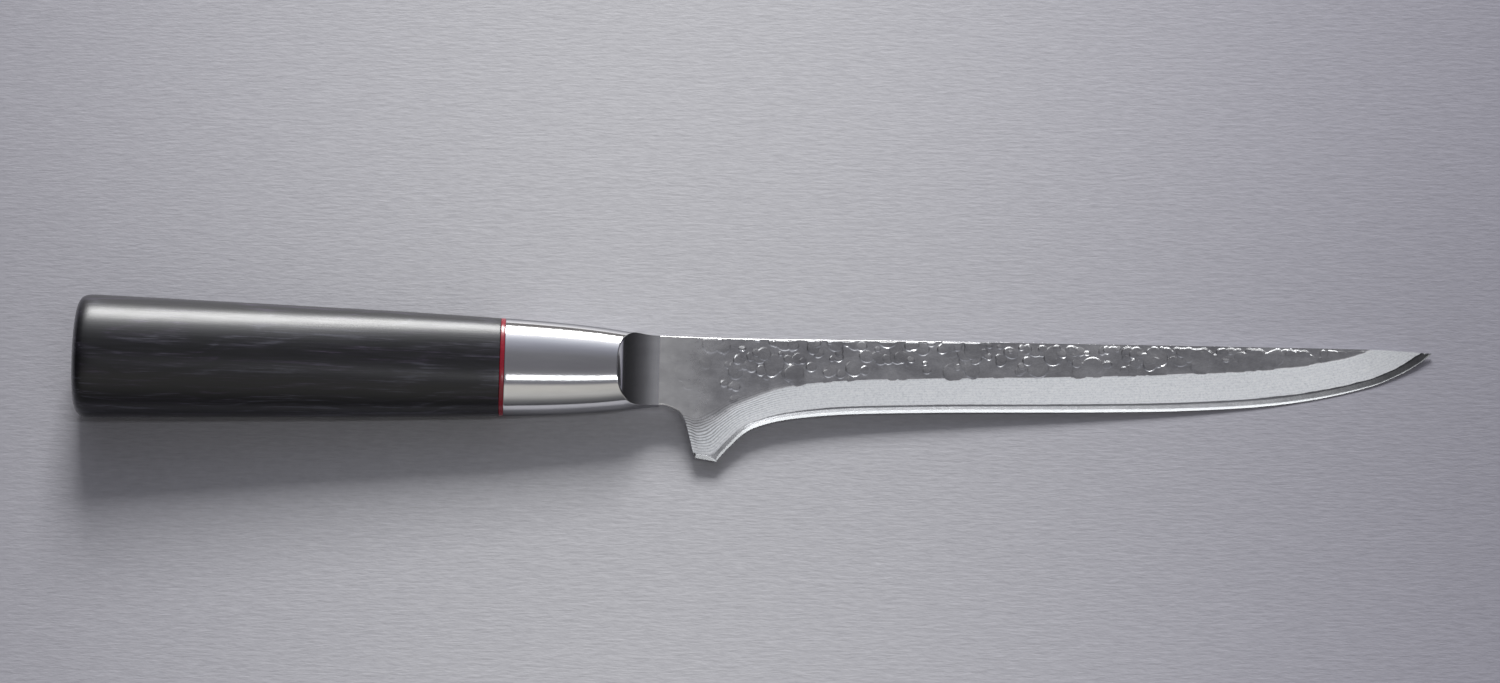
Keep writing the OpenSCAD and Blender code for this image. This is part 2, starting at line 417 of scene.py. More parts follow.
def build_cladding(name, side, seed):
    marks = craters(seed)
    m = len(U)
    q = np.concatenate([[0, 0.004], np.linspace(0.012, 1, NA - 2)])
    r = np.minimum(np.interp(U, [10, 50, 72, 90, 100, 183], [0.16, 0.14, 0.06, 0.012, 0.002, 0.002]), (YS - YC) * 0.2)
    turn = np.linspace(0, math.pi / 2, NR)[:-1]
    # the face, from the spine's corner down to the lamination's edge or the choil
    y0 = YS - r
    low_r = np.where(DROP, 0.0, np.minimum(0.2, (YS - YC) * 0.1))
    y1 = YC + low_r
    Y = y0[:, None] + (y1 - y0)[:, None] * q[None, :]
    X = np.repeat(U[:, None], NA, 1)
    zb = bevel_z(X, Y)
    D = crater_depth(X, Y, marks)
    # the spine's corner stays whole
    k = np.clip((YS[:, None] - r[:, None] - Y) / 0.30, 0, 1)
    D *= k * k * (3 - 2 * k)
    # a slow unevenness of the forged face
    rng = np.random.default_rng(seed + 50)
    face = np.full_like(X, HT) - 0.004
    for _ in range(14):
        kx, ky, ph = rng.uniform(-0.5, 0.5), rng.uniform(-0.7, 0.7), rng.uniform(0, 6.28)
        face -= 0.0012 * (1 + np.sin(kx * X + ky * Y + ph)) * np.clip((X - 11) / 8, 0, 1)
    flat = face - D
    k = np.interp(U, [15, 24, 32, 44, 125, 150], [0.42, 0.34, 0.16, 0.008, 0.008, 0.03])[:, None] * np.ones_like(flat)
    Z = smin(flat, zb, k)
    # the satin sets in softly at the heel and near the point
    soft = np.interp(U, [16, 24, 31, 42, 118, 140, 165], [0.62, 0.52, 0.26, 0.014, 0.014, 0.05, 0.10])[:, None]
    satin = np.clip((flat - zb) / soft + np.where(soft > 0.02, 0.18, 0.5), 0, 1)
    satin = satin * satin * (3 - 2 * satin)
    Z = np.maximum(Z, HC + 0.012)
    # rows round the corner at the spine, outermost first
    top_y = YS[:, None] - r[:, None] * (1 - np.cos(turn))[None, :]
    drop = r[:, None] * (1 - np.sin(turn))[None, :]
    zc = Z[:, :1] - drop
    Yc = top_y
    # the lower corner and wall: round where it's an open choil, thin where it's feathered
    turn2 = np.linspace(0, math.pi / 2, 5)[1:]
    bot_y = y1[:, None] - low_r[:, None] * np.sin(turn2)[None, :]
    bot_z = np.maximum(Z[:, -1:] - low_r[:, None] * (1 - np.cos(turn2))[None, :], HC + 0.006)
    under = [
        (YC, np.full(m, HC)),
        (YC * 0.67 + YS * 0.33, np.full(m, HC)),
        (YC * 0.33 + YS * 0.67, np.full(m, HC)),
        (YS, np.full(m, HC)),
    ]
    yy = np.concatenate([Yc, Y, bot_y] + [a[:, None] for a, _ in under], 1)
    zz = np.concatenate([zc, Z, bot_z] + [b[:, None] for _, b in under], 1)
    n = yy.shape[1]
    one = np.ones((m, 1))
    bev = np.concatenate([np.repeat(np.minimum(zb[:, :1], 3), len(turn), 1), np.minimum(zb, 3),
                          np.repeat(np.minimum(zb[:, -1:], 3), 8, 1)], 1)
    sat = np.concatenate([np.repeat(satin[:, :1], len(turn), 1), satin, np.repeat(satin[:, -1:], 8, 1)], 1)
    pit = np.concatenate([np.repeat(D[:, :1], len(turn), 1), D, np.repeat(D[:, -1:], 8, 1)], 1)
    xx = np.repeat(U[:, None], n, 1) + XN
    rings = np.stack([xx, yy, zz], -1)
    # the stub tang, hidden in the bolster, with the same count of points round it
    k = np.linspace(0, 1, n - 8)
    sy = np.concatenate([5 - 10 * k, np.full(4, -5.0), [-5.0, -1.7, 1.7, 5.0]])
    sz = np.concatenate([np.full(n - 8, TT), np.linspace(TT - 0.1, HC + 0.1, 4), np.full(4, HC)])
    stub = [np.stack([np.full(n, x), sy, sz], -1) for x in (97.3, 105.3, 113.3, SEAM)]
    rings = np.concatenate([np.array(stub), rings], 0)
    bev = np.concatenate([np.full((4, n), 3.0), bev], 0)
    sat = np.concatenate([np.zeros((4, n)), sat], 0)
    pit = np.concatenate([np.zeros((4, n)), pit], 0)
    rings[:, :, 2] *= side
    return loft(name, rings, sharp=30, attrs={"bevel": bev.reshape(-1), "satin": sat.reshape(-1),
                                              "pit": pit.reshape(-1)})


def build_core():
    m = len(U)
    yb = np.maximum(YC, YL + 0.3)
    yb = np.minimum(yb, YS - 0.03 * np.clip((183 - U) / 10, 0.05, 1))
    hid = np.linspace(0, 1, 6)
    Yh = YS[:, None] + (yb - YS)[:, None] * hid[None, :]
    # the narrow polished bevel that makes the cutting edge
    slope = np.gradient(YL, U)
    slope = np.where((U > 17.9) & (U < 22.6), -0.17, slope)
    cosa = 1 / np.sqrt(1 + slope ** 2)
    wide = np.interp(U, [17.2, 18.0, 22.4, 25, 60, 120, 148, 163, 172], [0.03, 0.14, 0.18, 0.42, 0.50, 0.54, 0.44, 0.24, 0.06])
    on = (U > 17.2)

    def heights(Y):
        zb = np.minimum(bevel_z(np.repeat(U[:, None], Y.shape[1], 1), Y), HC)
        sec = (0.12 - 0.0645 * wide)[:, None] + 0.187 * (Y - YL[:, None]) * cosa[:, None]
        return zb, sec

    # where that bevel meets the main one, in each column
    f = np.linspace(0, 1, 61)
    zb, sec = heights(YL[:, None] + (yb - YL)[:, None] * f[None, :])
    over = sec > zb
    first = np.where(over.any(1), over.argmax(1), 60)
    crease = np.clip(f[first], 0.06, 0.9)
    pad = np.concatenate([np.full(3, crease[0]), crease, np.full(3, crease[-1])])
    crease = np.convolve(pad, np.ones(7) / 7, "valid")
    upper = np.linspace(0, 1, 11)[1:]
    lower = np.linspace(0, 1, 9)[1:]
    yc = YL + (yb - YL) * crease
    Yb = np.concatenate([yb[:, None] + (yc - yb)[:, None] * upper[None, :],
                         yc[:, None] + (YL - yc)[:, None] * lower[None, :]], 1)
    zb, sec = heights(Yb)
    zc = np.where(on[:, None], np.minimum(zb, sec), zb)
    polish = np.concatenate([np.zeros((m, 9)), np.ones((m, 9))], 1) * on[:, None]
    yy = np.concatenate([Yh, Yb], 1)
    zz = np.concatenate([np.full_like(Yh, HC - 0.001), zc], 1)
    po = np.concatenate([np.zeros_like(Yh), polish], 1)
    yy = np.concatenate([yy, yy[:, ::-1]], 1)
    zz = np.concatenate([zz, -zz[:, ::-1]], 1)
    po = np.concatenate([po, po[:, ::-1]], 1)
    n = yy.shape[1]
    rings = np.stack([np.repeat(U[:, None], n, 1) + XN, yy, zz], -1)
    half = n // 2
    k = np.linspace(0, 1, half)
    sy = np.concatenate([5 - 10 * k, -5 + 10 * k])
    sz = np.concatenate([np.full(half, HC), np.full(half, -HC)])
    stub = [np.stack([np.full(n, x), sy, sz], -1) for x in (97.3, 113.3, SEAM)]
    rings = np.concatenate([np.array(stub), rings], 0)
    po = np.concatenate([np.zeros((3, n)), po], 0)
    return loft("core_sheet", rings, sharp=30, attrs={"polish": po.reshape(-1)})


handle = build_handle()
ring = build_ring()
bolster = build_bolster()
right = build_cladding("right_cladding", 1, 3)
left = build_cladding("left_cladding", -1, 8)
core = build_core()

for ob, node, slot in ((handle, "handle_block", "laminated_wood"), (ring, "spacer_ring", "red_spacer"),
                       (bolster, "bolster", "polished_steel"), (right, "cladding_right", "clad_steel"),
                       (left, "cladding_left", "clad_steel"), (core, "blade_core", "core_steel")):
    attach(ob, BODY)
    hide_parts(node)


# ------------------------------------------------------------------ materials
class Net:
    """A short way to write a node tree."""

    def __init__(self, name):
        self.mat = bpy.data.materials.new(name)
        self.mat.use_nodes = True
        self.t = self.mat.node_tree
        self.t.nodes.clear()
        self.out = self.t.nodes.new("ShaderNodeOutputMaterial")
        self.b = self.t.nodes.new("ShaderNodeBsdfPrincipled")
        self.t.links.new(self.b.outputs[0], self.out.inputs[0])
        self.co = self.t.nodes.new("ShaderNodeTexCoord").outputs["Object"]
        self.mm = self.vmath("MULTIPLY", self.co, (1000, 1000, 1000))

    def link(self, value, socket):
        if isinstance(value, bpy.types.NodeSocket):
            self.t.links.new(value, socket)
        elif value is not None:
            socket.default_value = value

    def set(self, **kw):
        for k, v in kw.items():
            self.link(v, self.b.inputs[k.replace("_", " ")])

    def math(self, op, a, b=None, c=None, clamp=False):
        n = self.t.nodes.new("ShaderNodeMath")
        n.operation = op
        n.use_clamp = clamp
        for i, v in enumerate((a, b, c)):
            if v is not None:
                self.link(v, n.inputs[i])
        return n.outputs[0]

    def vmath(self, op, a, b=None):
        n = self.t.nodes.new("ShaderNodeVectorMath")
        n.operation = op
        self.link(a, n.inputs[0])
        if b is not None:
            self.link(b, n.inputs[1])
        return n.outputs[0]

    def xyz(self, v):
        n = self.t.nodes.new("ShaderNodeSeparateXYZ")
        self.link(v, n.inputs[0])
        return n.outputs

    def join(self, x, y, z):
        n = self.t.nodes.new("ShaderNodeCombineXYZ")
        for i, v in enumerate((x, y, z)):
            self.link(v, n.inputs[i])
        return n.outputs[0]

    def noise(self, v, scale=1.0, detail=3.0, rough=0.5, warp=0.0):
        n = self.t.nodes.new("ShaderNodeTexNoise")
        self.link(v, n.inputs["Vector"])
        n.inputs["Scale"].default_value = scale
        n.inputs["Detail"].default_value = detail
        n.inputs["Roughness"].default_value = rough
        n.inputs["Distortion"].default_value = warp
        return n.outputs["Fac"]

    def voronoi(self, v, scale=1.0, feature="F1"):
        n = self.t.nodes.new("ShaderNodeTexVoronoi")
        n.feature = feature
        self.link(v, n.inputs["Vector"])
        n.inputs["Scale"].default_value = scale
        return n.outputs["Distance"]

    def ramp(self, v, stops, interp="LINEAR"):
        n = self.t.nodes.new("ShaderNodeValToRGB")
        n.color_ramp.interpolation = interp
        e = n.color_ramp.elements
        while len(e) < len(stops):
            e.new(0.5)
        for i, (p, c) in enumerate(stops):
            e[i].position = p
            e[i].color = (c, c, c, 1) if isinstance(c, (int, float)) else (*c, 1)
        self.link(v, n.inputs[0])
        return n.outputs[0]

    def mix(self, f, a, b, mode="MIX"):
        n = self.t.nodes.new("ShaderNodeMix")
        n.data_type = "RGBA"
        n.blend_type = mode
        self.link(f, n.inputs[0])
        for v, i in ((a, 6), (b, 7)):
            if isinstance(v, (int, float)):
                v = (v, v, v, 1)
            elif isinstance(v, tuple) and len(v) == 3:
                v = (*v, 1)
            self.link(v, n.inputs[i])
        return n.outputs[2]

    def fmix(self, f, a, b):
        n = self.t.nodes.new("ShaderNodeMix")
        n.data_type = "FLOAT"
        self.link(f, n.inputs[0])
        self.link(a, n.inputs[2])
        self.link(b, n.inputs[3])
        return n.outputs[0]

    def attr(self, name):
        n = self.t.nodes.new("ShaderNodeAttribute")
        n.attribute_name = name
        return n.outputs["Fac"]

    def scaled(self, x, y, z):
        return self.vmath("MULTIPLY", self.mm, (x, y, z))

    def bump(self, h, dist, strength=1.0, under=None):
        """h is 0 to 1, and dist the height of a step from 0 to 1 in millimetres."""
        n = self.t.nodes.new("ShaderNodeBump")
        n.inputs["Strength"].default_value = strength
        n.inputs["Distance"].default_value = dist * MM
        self.link(h, n.inputs["Height"])
        if under is not None:
            self.link(under, n.inputs["Normal"])
        return n.outputs[0]


def wood_material():
    n = Net("laminated_wood")
    X, Y, Z = n.xyz(n.mm)
    # the figure: layers that run lengthwise and swing slowly, cut by the handle's curve
    swing = n.noise(n.scaled(0.020, 0.05, 0.05), 1.0, 2.0, 0.5)
    swing2 = n.noise(n.scaled(0.06, 0.22, 0.22), 1.0, 2.0, 0.5)
    depth = n.math("ADD", n.math("MULTIPLY", Z, 0.50), n.math("MULTIPLY", Y, 0.30))
    phase = n.math("ADD", depth, n.math("MULTIPLY", swing, 11.0))
    phase = n.math("ADD", phase, n.math("MULTIPLY", swing2, 2.0))
    vein = n.math("SINE", n.math("MULTIPLY", phase, 2.6))
    vein = n.ramp(n.math("MULTIPLY_ADD", vein, 0.5, 0.5), [(0.0, 0.0), (0.30, 0.75), (0.62, 1.0), (0.95, 0.62)])
    fine = n.math("SINE", n.math("MULTIPLY", phase, 9.5))
    fine = n.math("MULTIPLY_ADD", fine, 0.5, 0.5)
    # fibres and pores, long and thin
    fibre = n.noise(n.scaled(0.085, 2.1, 2.1), 1.0, 3.0, 0.7)
    streak = n.noise(n.scaled(0.030, 1.05, 1.05), 1.0, 4.0, 0.68)
    broad = n.noise(n.scaled(0.018, 0.26, 0.26), 1.0, 2.0, 0.5)
    pore = n.noise(n.scaled(0.17, 4.4, 4.4), 1.0, 2.0, 0.5)
    v = n.math("ADD", n.math("MULTIPLY", vein, 0.20), n.math("MULTIPLY", fine, 0.04))
    v = n.math("ADD", v, n.math("MULTIPLY", streak, 0.72))
    v = n.math("ADD", v, n.math("MULTIPLY", fibre, 0.62))
    v = n.math("ADD", v, n.math("MULTIPLY", broad, 0.30))
    v = n.math("ADD", v, -0.16)
    col = n.ramp(v, [(0.68, (0.0006, 0.0003, 0.0010)), (0.77, (0.0022, 0.0014, 0.0038)),
                     (0.84, (0.0062, 0.0048, 0.0090)), (0.90, (0.0175, 0.0160, 0.0240)),
                     (0.97, (0.050, 0.049, 0.066))])
    tint = n.ramp(broad, [(0.38, (1.0, 0.74, 1.04)), (0.56, (1.0, 1.0, 1.0))])
    col = n.mix(1.0, col, tint, "MULTIPLY")
    pores = n.ramp(pore, [(0.32, 0.25), (0.42, 1.0)])
    col = n.mix(0.8, col, pores, "MULTIPLY")
    h = n.math("ADD", n.math("MULTIPLY", fibre, 0.55), n.math("MULTIPLY", pores, 0.25))
    h = n.math("ADD", h, n.math("MULTIPLY", streak, 0.9))
    rough = n.math("MULTIPLY_ADD", fibre, 0.30, 0.25)
    rough = n.math("MULTIPLY_ADD", n.noise(n.mm, 0.16, 3.0), 0.06, rough)
    n.set(Base_Color=col, Roughness=rough, Normal=n.bump(h, 0.016, 1.0))
    n.b.inputs["IOR"].default_value = 1.46
    n.b.inputs["Specular Tint"].default_value = (0.92, 0.94, 1.0, 1.0)
    n.b.inputs["Coat Weight"].default_value = 0.80
    n.b.inputs["Coat Roughness"].default_value = 0.27
    n.b.inputs["Coat IOR"].default_value = 1.42
    return n.mat


def ring_material():
    n = Net("red_spacer")
    cloud = n.noise(n.mm, 0.45, 3.0)
    grain = n.noise(n.scaled(6, 1.6, 1.6), 1.0, 3.0, 0.6)
    col = n.ramp(n.math("MULTIPLY_ADD", grain, 0.4, n.math("MULTIPLY", cloud, 0.6)),
                 [(0.30, (0.25, 0.008, 0.022)), (0.55, (0.36, 0.012, 0.031)), (0.75, (0.46, 0.022, 0.048))])
    n.set(Base_Color=col, Roughness=n.math("MULTIPLY_ADD", grain, 0.12, 0.20), Normal=n.bump(grain, 0.004))
    n.b.inputs["Coat Weight"].default_value = 0.3
    n.b.inputs["Coat Roughness"].default_value = 0.12
    return n.mat


def bolster_material():
    n = Net("polished_steel")
    X, Y, Z = n.xyz(n.mm)
    hair = n.noise(n.scaled(0.16, 9.0, 9.0), 1.0, 3.0, 0.6)
    cloud = n.noise(n.scaled(0.09, 0.5, 0.5), 1.0, 3.0)
    # past the hollow grind's edge the polish turns to the neck's finer satin
    zero = float(ZERO[0])
    far = n.math("MULTIPLY_ADD", X, 1 / 7.0, -(122.8 + zero) / 7.0, clamp=True)
    cross = n.noise(n.scaled(7.0, 0.22, 3.0), 1.0, 3.0, 0.6)
    col = n.ramp(cloud, [(0.3, (0.82, 0.82, 0.838)), (0.7, (0.89, 0.89, 0.908))])
    # painted shade: the base colour is darkened over the lower flank, the belly, so that it reflects dark in place of
    # the lit floor
    painted_belly_shade = n.ramp(n.math("MULTIPLY_ADD", Y, 1 / 24.0, 0.5), [(0.11, 0.36), (0.145, 0.46), (0.215, 1.0)], "EASE")
    col = n.mix(1.0, col, painted_belly_shade, "MULTIPLY")
    r0 = n.math("MULTIPLY_ADD", hair, 0.05, 0.085)
    r1 = n.math("MULTIPLY_ADD", cross, 0.10, 0.20)
    n.set(Base_Color=col, Metallic=1.0, Roughness=n.fmix(far, r0, r1),
          Normal=n.bump(cross, 0.0012, 1.0, n.bump(hair, 0.0010)))
    n.b.inputs["Specular Tint"].default_value = (0.36, 0.36, 0.38, 1.0)
    return n.mat


def clad_material():
    n = Net("clad_steel")
    bevel, satin, pit = n.attr("bevel"), n.attr("satin"), n.attr("pit")
    X, Y, Z = n.xyz(n.mm)
    zero = float(ZERO[0])
    heel = n.math("MULTIPLY_ADD", X, -1 / 26.0, (163.0 + zero) / 26.0, clamp=True)
    # layers of the lamination, cut by the bevel, so that each is a contour of its height
    warp = n.noise(n.scaled(0.10, 0.35, 0.35), 1.0, 3.0, 0.55)
    warp2 = n.noise(n.scaled(0.5, 1.1, 1.1), 1.0, 2.0, 0.5)
    h = n.math("MULTIPLY_ADD", warp, 0.10, n.math("MULTIPLY_ADD", warp2, 0.02, bevel))
    lay = n.math("MULTIPLY_ADD", n.math("SINE", n.math("MULTIPLY", h, 2 * math.pi / 0.066)), 0.5, 0.5)
    lay = n.ramp(lay, [(0.12, 0.0), (0.55, 1.0)], "EASE")
    high = n.math("MULTIPLY_ADD", bevel, 1.5, -0.25, clamp=True)
    lay_on = n.math("MULTIPLY_ADD", n.math("MULTIPLY", heel, high), 0.85, 0.10)
    # the forged face keeps a faint watered figure
    fig = n.noise(n.scaled(0.20, 0.55, 0.55), 1.0, 4.0, 0.6, 1.2)
    figl = n.math("MULTIPLY_ADD", n.math("SINE", n.math("MULTIPLY", fig, 62.0)), 0.5, 0.5)
    fine = n.noise(n.scaled(1.7, 2.2, 2.2), 1.0, 3.0, 0.65)
    speck = n.noise(n.scaled(3.2, 5.5, 5.5), 1.0, 3.0, 0.7)
    brush = n.noise(n.scaled(5.5, 0.35, 3.0), 1.0, 3.0, 0.6)
    cloud = n.noise(n.scaled(0.14, 0.22, 0.2), 1.0, 4.0, 0.6)
    # forged face
    c_h = n.ramp(cloud, [(0.33, (0.66, 0.66, 0.675)), (0.67, (0.94, 0.94, 0.955))])
    c_h = n.mix(0.10, c_h, figl, "MULTIPLY")
    # painted shade: the forged face's colour is darkened in the hammer pits, more where they are deeper
    pit_painted_shade = n.ramp(pit, [(0.0, 1.0), (0.02, 0.93), (0.09, 0.88)])
    c_h = n.mix(1.0, c_h, pit_painted_shade, "MULTIPLY")
    # satin bevel
    c_s = n.ramp(n.math("MULTIPLY_ADD", fine, 0.5, n.math("MULTIPLY", speck, 0.5)),
                 [(0.36, (0.66, 0.68, 0.71)), (0.50, (0.86, 0.88, 0.91)), (0.64, (0.97, 0.98, 0.99))])
    dark = n.mix(n.math("MULTIPLY", lay_on, 1.0), (1, 1, 1), n.ramp(lay, [(0.0, (0.42, 0.42, 0.43)), (1.0, (1, 1, 1))]))
    c_s = n.mix(1.0, c_s, dark, "MULTIPLY")
    near = n.math("MULTIPLY_ADD", X, -1 / 14.0, (XN + 26.0 + zero) / 14.0, clamp=True)
    c_h = n.mix(near, c_h, n.ramp(cloud, [(0.35, (0.76, 0.757, 0.755)), (0.65, (0.88, 0.877, 0.875))]))
    col = n.mix(satin, c_h, c_s)
    # the layers still show where the forged face rolls over into the bevel
    roll = n.math("MULTIPLY_ADD", bevel, -8.0, 9.9, clamp=True)
    roll = n.math("MULTIPLY", n.math("MULTIPLY", roll, heel), n.math("MULTIPLY_ADD", bevel, 2.2, -0.9, clamp=True))
    col = n.mix(n.math("MULTIPLY", roll, 0.75), col, n.mix(1.0, col, n.ramp(lay, [(0.0, (0.45, 0.45, 0.46)), (1.0, (1.06, 1.07, 1.09))]), "MULTIPLY"))
    r_h = n.math("MULTIPLY_ADD", fine, 0.08, n.math("MULTIPLY_ADD", cloud, 0.10, 0.13))
    r_h = n.math("MULTIPLY_ADD", near, 0.10, r_h)
    r_s = n.math("MULTIPLY_ADD", speck, 0.14, 0.34)
    # fine grit on the forged face, brushing and layer steps on the bevel
    b1 = n.bump(n.math("MULTIPLY_ADD", figl, 0.18, n.math("MULTIPLY_ADD", cloud, 1.2, fine)), 0.0018)
    hs = n.math("ADD", n.math("MULTIPLY", speck, 0.55), n.math("MULTIPLY", brush, 0.45))
    hs = n.math("ADD", hs, n.math("MULTIPLY", n.math("MULTIPLY", lay, lay_on), 0.35))
    b2 = n.bump(hs, 0.013)
    mixn = n.t.nodes.new("ShaderNodeMix")
    mixn.data_type = "VECTOR"
    n.link(satin, mixn.inputs[0])
    n.link(b1, mixn.inputs[4])
    n.link(b2, mixn.inputs[5])
    n.set(Base_Color=col, Metallic=1.0, Roughness=n.fmix(satin, r_h, r_s), Normal=mixn.outputs[1])
    return n.mat


def core_material():
    n = Net("core_steel")
    polish = n.attr("polish")
    brush = n.noise(n.scaled(6.0, 0.5, 3.0), 1.0, 3.0, 0.6)
    along = n.noise(n.scaled(0.25, 9.0, 9.0), 1.0, 3.0, 0.6)
    cloud = n.noise(n.scaled(0.3, 0.6, 0.6), 1.0, 3.0)
    X, Y, Z = n.xyz(n.mm)
    # painted shade: the core's colour is made far darker over the last few centimetres towards the point
    point_painted_shade = n.math("MULTIPLY_ADD", X, 1 / 34.0, -(262.0 + float(ZERO[0])) / 34.0, clamp=True)
    c0 = n.ramp(cloud, [(0.3, (0.62, 0.63, 0.65)), (0.7, (0.74, 0.75, 0.77))])
    c0 = n.mix(point_painted_shade, c0, n.ramp(cloud, [(0.3, (0.15, 0.153, 0.16)), (0.7, (0.21, 0.213, 0.22))]))
    c1 = n.ramp(along, [(0.3, (0.50, 0.51, 0.52)), (0.7, (0.56, 0.57, 0.58))])
    n.set(Base_Color=n.mix(polish, c0, c1), Metallic=1.0,
          Roughness=n.fmix(polish, n.math("MULTIPLY_ADD", brush, 0.08, 0.14), n.math("MULTIPLY_ADD", along, 0.04, 0.25)),
          Normal=n.bump(n.math("MULTIPLY", n.math("ADD", brush, along), n.math("SUBTRACT", 1.0, polish)), 0.0012))
    return n.mat


def tang_material():
    n = Net("tang_steel")
    mill = n.noise(n.scaled(0.2, 6.0, 6.0), 1.0, 3.0, 0.6)
    col = n.ramp(mill, [(0.3, (0.38, 0.38, 0.39)), (0.7, (0.50, 0.50, 0.51))])
    n.set(Base_Color=col, Metallic=1.0, Roughness=n.math("MULTIPLY_ADD", mill, 0.2, 0.35), Normal=n.bump(mill, 0.004))
    return n.mat


def potting_material():
    n = Net("potting")
    cloud = n.noise(n.mm, 0.5, 4.0)
    bub = n.voronoi(n.mm, 1.3)
    col = n.ramp(cloud, [(0.3, (0.40, 0.31, 0.15)), (0.7, (0.55, 0.45, 0.24))])
    n.set(Base_Color=col, Roughness=n.math("MULTIPLY_ADD", cloud, 0.2, 0.3), Normal=n.bump(bub, 0.02))
    return n.mat


def give(ob, mat):
    ob.data.materials.clear()
    ob.data.materials.append(mat)


give(handle, wood_material())
give(ring, ring_material())
give(bolster, bolster_material())
clad = clad_material()
give(right, clad)
give(left, clad)
give(core, core_material())
tang_mat, pot_mat = tang_material(), potting_material()
for node, mat in (("tang_bar", tang_mat), ("tang_epoxy", pot_mat)):
    ob = frame["nodes"][node]
    if not ob.material_slots:
        ob.data.materials.append(mat)
    for s in ob.material_slots:
        s.material = mat


# ------------------------------------------------------------------ floor
# The knife lies on the flank of its butt and on its point, rolled a little to
# the edge side, so in the row frame the floor is the plane that touches both.
ROLL = math.radians(9.0)
pts = []
for ob in (handle, bolster, right, left, core):
    co = np.zeros(len(ob.data.vertices) * 3, np.float32)
    ob.data.vertices.foreach_get("co", co)
    pts.append(co.reshape(-1, 3)[::3].astype(float))
pts = np.vstack(pts)
mid = (pts[:, 0].min() + pts[:, 0].max()) / 2
fore, aft = pts[pts[:, 0] > mid], pts[pts[:, 0] <= mid]


def plane(s):
    n = np.array([-s, math.tan(ROLL), 1.0])
    return n / np.linalg.norm(n)


lo, hi = -0.02, 0.12
for _ in range(40):
    s = (lo + hi) / 2
    n = plane(s)
    if (fore @ n).min() > (aft @ n).min():
        lo = s
    else:
        hi = s
FLOOR_N = plane(s)
FLOOR_D = min((fore @ FLOOR_N).min(), (aft @ FLOOR_N).min()) - 0.00002


def floor_mesh():
    xs = np.linspace(-1.7, 1.7, 61)
    ys = np.concatenate([np.linspace(-1.7, -0.36, 15)[:-1], np.linspace(-0.36, -0.10, 14)[:-1], np.linspace(-0.10, 1.3, 28)])
    gx, gy = np.meshgrid(xs, ys, indexing="ij")
    # the paper lies flat where it runs out to the front
    t = np.clip((-0.10 - gy) / 0.16, 0, None)
    flat_y = np.where(t < 1, -0.10 - 0.16 * (t - t * t / 2), -0.18)
    gyf = np.where(gy < -0.10, flat_y, gy)
    gz = (FLOOR_D - FLOOR_N[0] * gx - FLOOR_N[1] * gyf) / FLOOR_N[2]
    V = np.stack([gx, gy, gz], -1).reshape(-1, 3)
    a = np.arange(60)[:, None] * 55 + np.arange(54)[None, :]
    Q = np.stack([a, a + 55, a + 56, a + 1], -1).reshape(-1, 4)
    me = bpy.data.meshes.new("floor")
    me.from_pydata(V.tolist(), [], Q.tolist())
    me.polygons.foreach_set("use_smooth", np.ones(len(me.polygons), bool))
    ob = bpy.data.objects.new("floor", me)
    scene.collection.objects.link(ob)
    n = Net("floor_paper")
    streak = n.noise(n.scaled(0.24, 1.5, 1.5), 1.0, 3.0, 0.6)
    mott = n.noise(n.scaled(0.55, 1.1, 1.1), 1.0, 3.0, 0.6)
    v = n.math("ADD", n.math("MULTIPLY", streak, 0.6), n.math("MULTIPLY", mott, 0.4))
    col = n.ramp(v, [(0.3, (0.570, 0.570, 0.612)), (0.7, (0.690, 0.690, 0.735))])
    # painted light and shade: the floor's colour is made palest just behind the knife, a little darker under and in
    # front of it, and darker and bluer towards the sides and the front, standing in for the light's fall-off
    X, Y, Z = n.xyz(n.mm)
    gx = n.ramp(n.math("MULTIPLY_ADD", X, 1 / 600.0, 0.5), [(0.0, (0.45, 0.44, 0.50)), (0.12, (0.56, 0.55, 0.60)), (0.25, (0.77, 0.765, 0.80)), (0.36, (0.94, 0.94, 0.95)),
                (0.45, 1.0), (0.55, (0.96, 0.96, 0.97)), (0.66, (0.77, 0.765, 0.81)), (0.76, (0.60, 0.59, 0.65)),
                (0.88, (0.48, 0.47, 0.53)), (1.0, (0.44, 0.43, 0.49))], "B_SPLINE")
    gy = n.ramp(n.math("MULTIPLY_ADD", Y, 1 / 600.0, 0.5), [(0.0, 0.42), (0.18, 0.55), (0.33, 0.98), (0.375, 1.0), (0.45, 0.92), (0.523, 0.885),
                (0.62, 1.0), (1.0, 0.95)], "B_SPLINE")
    col = n.mix(1.0, col, gx, "MULTIPLY")
    col = n.mix(1.0, col, gy, "MULTIPLY")
    # painted shade: the floor far behind the knife is darkened so that it shows dark in reflections
    far = n.ramp(n.math("MULTIPLY", Y, 1 / 1000.0), [(0.30, 1.0), (0.60, 0.55), (1.0, 0.45)], "EASE")
    col = n.mix(1.0, col, far, "MULTIPLY")
    n.set(Base_Color=col, Roughness=0.62, Normal=n.bump(v, 0.16, 1.0))
    n.b.inputs["Specular IOR Level"].default_value = 0.25
    give(ob, n.mat)
    return ob


floor = floor_mesh()

